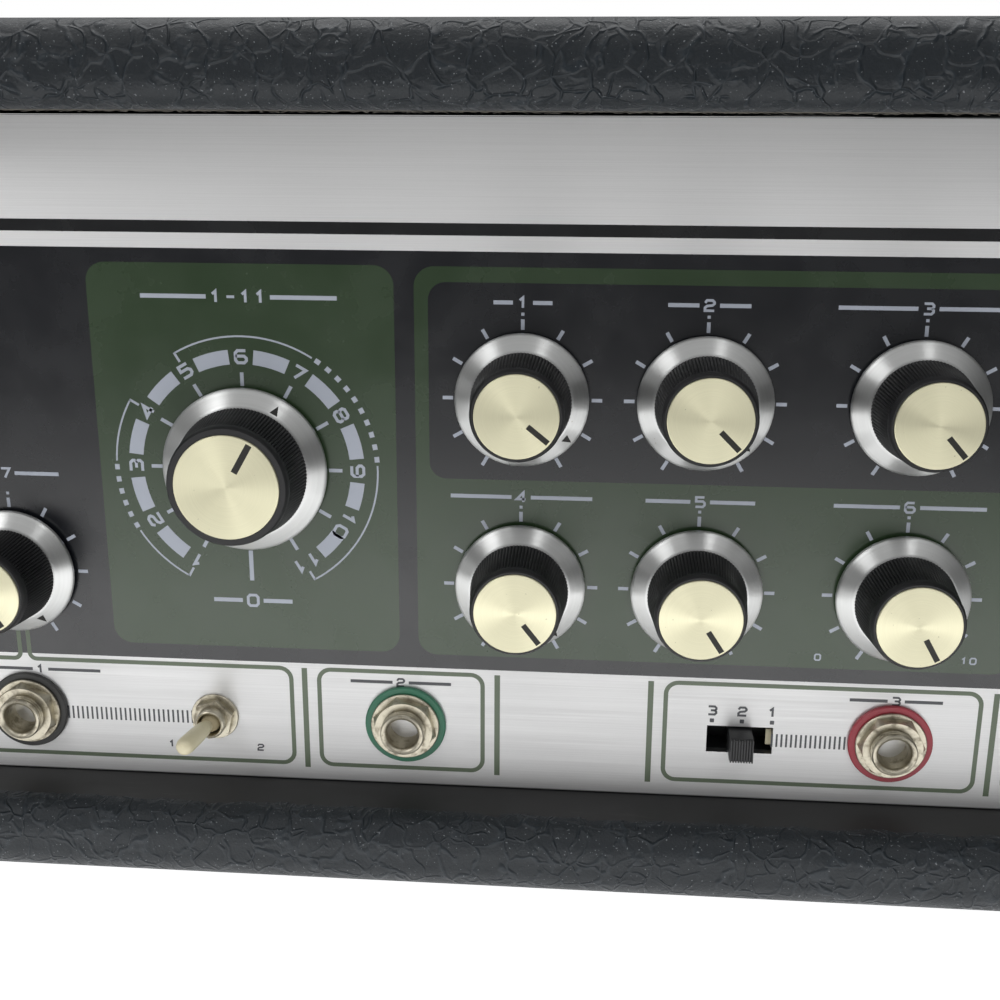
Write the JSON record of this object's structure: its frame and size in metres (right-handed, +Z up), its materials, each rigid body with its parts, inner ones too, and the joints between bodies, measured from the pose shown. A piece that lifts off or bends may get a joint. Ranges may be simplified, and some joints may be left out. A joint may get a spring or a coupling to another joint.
{
  "type": "tape echo unit",
  "caption": "Portable tape echo unit: covered wooden case with a recessed control panel, fluted knobs, jacks, and a tape deck under a hinged lid.",
  "frame": {"origin": "centre of the footprint, at the bottom of the feet", "axes": "front panel faces -Y, +X to the right seen from the front, +Z up"},
  "size_m": [0.441, 0.29, 0.1912],
  "materials": {
    "vinyl": "textured vinyl cloth over wood",
    "nickel": "aged nickel plate",
    "rubber": "moulded",
    "strap": "moulded strap",
    "chrome": "polished plate",
    "screw_steel": "zinc plate",
    "panel_aluminium": "brushed, printed",
    "sheet_steel": "zinc plated sheet",
    "rear_paint": "satin black",
    "black_plastic": "moulded",
    "needle_red": "painted",
    "clear_plastic": "clear acrylic",
    "lamp_red": "lens",
    "ivory": "aged ivory",
    "washer_fibre": "coloured fibre",
    "deck_paint": "hammered grey",
    "tape_oxide": "magnetic tape",
    "head_metal": "ground",
    "knob_metal": "spun",
    "knob_black": "fluted",
    "roller_rubber": "ground",
    "motor_steel": "plated",
    "brass": "turned",
    "belt_rubber": "flat belt",
    "core_iron": "varnished laminations",
    "board_resin": "paper laminate",
    "circuit": "plated"
  },
  "bodies": {
    "case": {"cabinet": "vinyl", "hinge_leaves_fixed": "nickel", "feet": "rubber", "handle_straps": "strap", "handle_caps": "chrome", "cabinet_screws": "screw_steel", "front_panel": "panel_aluminium", "panel_screws": "screw_steel", "chassis": "sheet_steel", "rear_panel": "rear_paint", "rear_fittings": "black_plastic", "vu_case": "black_plastic", "vu_lens": "clear_plastic", "peak_lamp": "lamp_red", "potentiometers": "circuit", "mode_switch": "circuit", "jacks": "nickel", "jack_washers": "washer_fibre", "switch_bodies": "nickel", "deck_plate": "deck_paint", "tape_tank": "black_plastic", "tank_cover": "clear_plastic", "tape_loop": "tape_oxide", "heads": "head_metal", "tape_guides": "head_metal", "motor": "motor_steel", "belt": "belt_rubber", "reverb_tank": "sheet_steel", "transformer": "core_iron", "circuit_boards": "board_resin"},
    "lid_body": {"lid": "vinyl", "hinge_leaves_lid": "nickel"},
    "bass_knob_body": {"bass_knob": "knob_black", "bass_knob_metal": "knob_metal"},
    "treble_knob_body": {"treble_knob": "knob_black", "treble_knob_metal": "knob_metal"},
    "reverb_knob_body": {"reverb_knob": "knob_black", "reverb_knob_metal": "knob_metal"},
    "rate_knob_body": {"rate_knob": "knob_black", "rate_knob_metal": "knob_metal"},
    "intensity_knob_body": {"intensity_knob": "knob_black", "intensity_knob_metal": "knob_metal"},
    "echo_knob_body": {"echo_knob": "knob_black", "echo_knob_metal": "knob_metal"},
    "instrument_knob_body": {"instrument_knob": "knob_black", "instrument_knob_metal": "knob_metal"},
    "mic_1_knob_body": {"mic_1_knob": "knob_black", "mic_1_knob_metal": "knob_metal"},
    "mic_2_knob_body": {"mic_2_knob": "knob_black", "mic_2_knob_metal": "knob_metal"},
    "mode_knob_body": {"mode_knob": "knob_black", "mode_knob_metal": "knob_metal"},
    "toggle": {"toggle_lever": "ivory"},
    "power": {"power_lever": "chrome"},
    "slider_body": {"slider": "black_plastic"},
    "needle": {"vu_needle": "needle_red"},
    "pinch_arm_body": {"pinch_arm": "screw_steel"},
    "pinch_roller_body": {"pinch_roller": "roller_rubber"},
    "capstan_body": {"capstan": "motor_steel"},
    "pulley_body": {"motor_pulley": "brass"}
  },
  "joints": [
    {"name": "lid_hinge", "type": "hinge", "parent": "case", "child": "lid_body", "pos_m": [0, 0.0555, 0.1882], "axis": [-1, 0, 0], "range_deg": [0, 100]},
    {"name": "bass_turn", "type": "hinge", "parent": "case", "child": "bass_knob_body", "pos_m": [0.0615, -0.1355, 0.1138], "axis": [0, 1, 0], "range_deg": [-279, 21]},
    {"name": "treble_turn", "type": "hinge", "parent": "case", "child": "treble_knob_body", "pos_m": [0.0978, -0.1355, 0.1138], "axis": [0, 1, 0], "range_deg": [-285, 15]},
    {"name": "reverb_turn", "type": "hinge", "parent": "case", "child": "reverb_knob_body", "pos_m": [0.1394, -0.1355, 0.1138], "axis": [0, 1, 0], "range_deg": [-288.5, 11.5]},
    {"name": "rate_turn", "type": "hinge", "parent": "case", "child": "rate_knob_body", "pos_m": [0.0615, -0.1355, 0.07425], "axis": [0, 1, 0], "range_deg": [-292, 8]},
    {"name": "intensity_turn", "type": "hinge", "parent": "case", "child": "intensity_knob_body", "pos_m": [0.0978, -0.1355, 0.07425], "axis": [0, 1, 0], "range_deg": [-296.5, 3.5]},
    {"name": "echo_turn", "type": "hinge", "parent": "case", "child": "echo_knob_body", "pos_m": [0.1394, -0.1355, 0.07425], "axis": [0, 1, 0], "range_deg": [-300, 0]},
    {"name": "instrument_turn", "type": "hinge", "parent": "case", "child": "instrument_knob_body", "pos_m": [-0.0473, -0.1355, 0.07425], "axis": [0, 1, 0], "range_deg": [-298, 2]},
    {"name": "mic_1_turn", "type": "hinge", "parent": "case", "child": "mic_1_knob_body", "pos_m": [-0.0893, -0.1355, 0.07425], "axis": [0, 1, 0], "range_deg": [-300, 0]},
    {"name": "mic_2_turn", "type": "hinge", "parent": "case", "child": "mic_2_knob_body", "pos_m": [-0.1313, -0.1355, 0.07425], "axis": [0, 1, 0], "range_deg": [-300, 0]},
    {"name": "mode_turn", "type": "hinge", "parent": "case", "child": "mode_knob_body", "pos_m": [0.0045, -0.1355, 0.098], "axis": [0, 1, 0], "range_deg": [-180, 150]},
    {"name": "toggle_tilt", "type": "hinge", "parent": "case", "child": "toggle", "pos_m": [-0.0053, -0.1305, 0.0416], "axis": [0, 0, 1], "range_deg": [0, 20]},
    {"name": "power_tilt", "type": "hinge", "parent": "case", "child": "power", "pos_m": [0.1755, -0.1305, 0.0416], "axis": [-1, 0, 0], "range_deg": [0, 20]},
    {"name": "level_slide", "type": "slide", "parent": "case", "child": "slider_body", "axis": [1, 0, 0], "range_m": [-0.0042, 0.0042]},
    {"name": "needle_swing", "type": "hinge", "parent": "case", "child": "needle", "pos_m": [-0.1075, -0.1235, 0.109], "axis": [0, 1, 0], "range_deg": [0, 90]},
    {"name": "pinch_swing", "type": "hinge", "parent": "case", "child": "pinch_arm_body", "pos_m": [-0.05, -0.06255, 0.145], "axis": [0, 0, 1], "range_deg": [0, 6.6]},
    {"name": "roller_spin", "type": "hinge", "parent": "pinch_arm_body", "child": "pinch_roller_body", "pos_m": [-0.08477, -0.05853, 0.151], "axis": [0, 0, 1], "continuous": true},
    {"name": "capstan_spin", "type": "hinge", "parent": "case", "child": "capstan_body", "pos_m": [-0.085, -0.07495, 0.145], "axis": [0, 0, 1], "continuous": true},
    {"name": "pulley_spin", "type": "hinge", "parent": "case", "child": "pulley_body", "pos_m": [-0.01, -0.07495, 0.125], "axis": [0, 0, 1], "continuous": true}
  ],
  "couplings": [
    {"joint": "pulley_spin", "follows": "capstan_spin", "ratio": 3.5},
    {"joint": "roller_spin", "follows": "capstan_spin", "ratio": -0.27778}
  ]
}
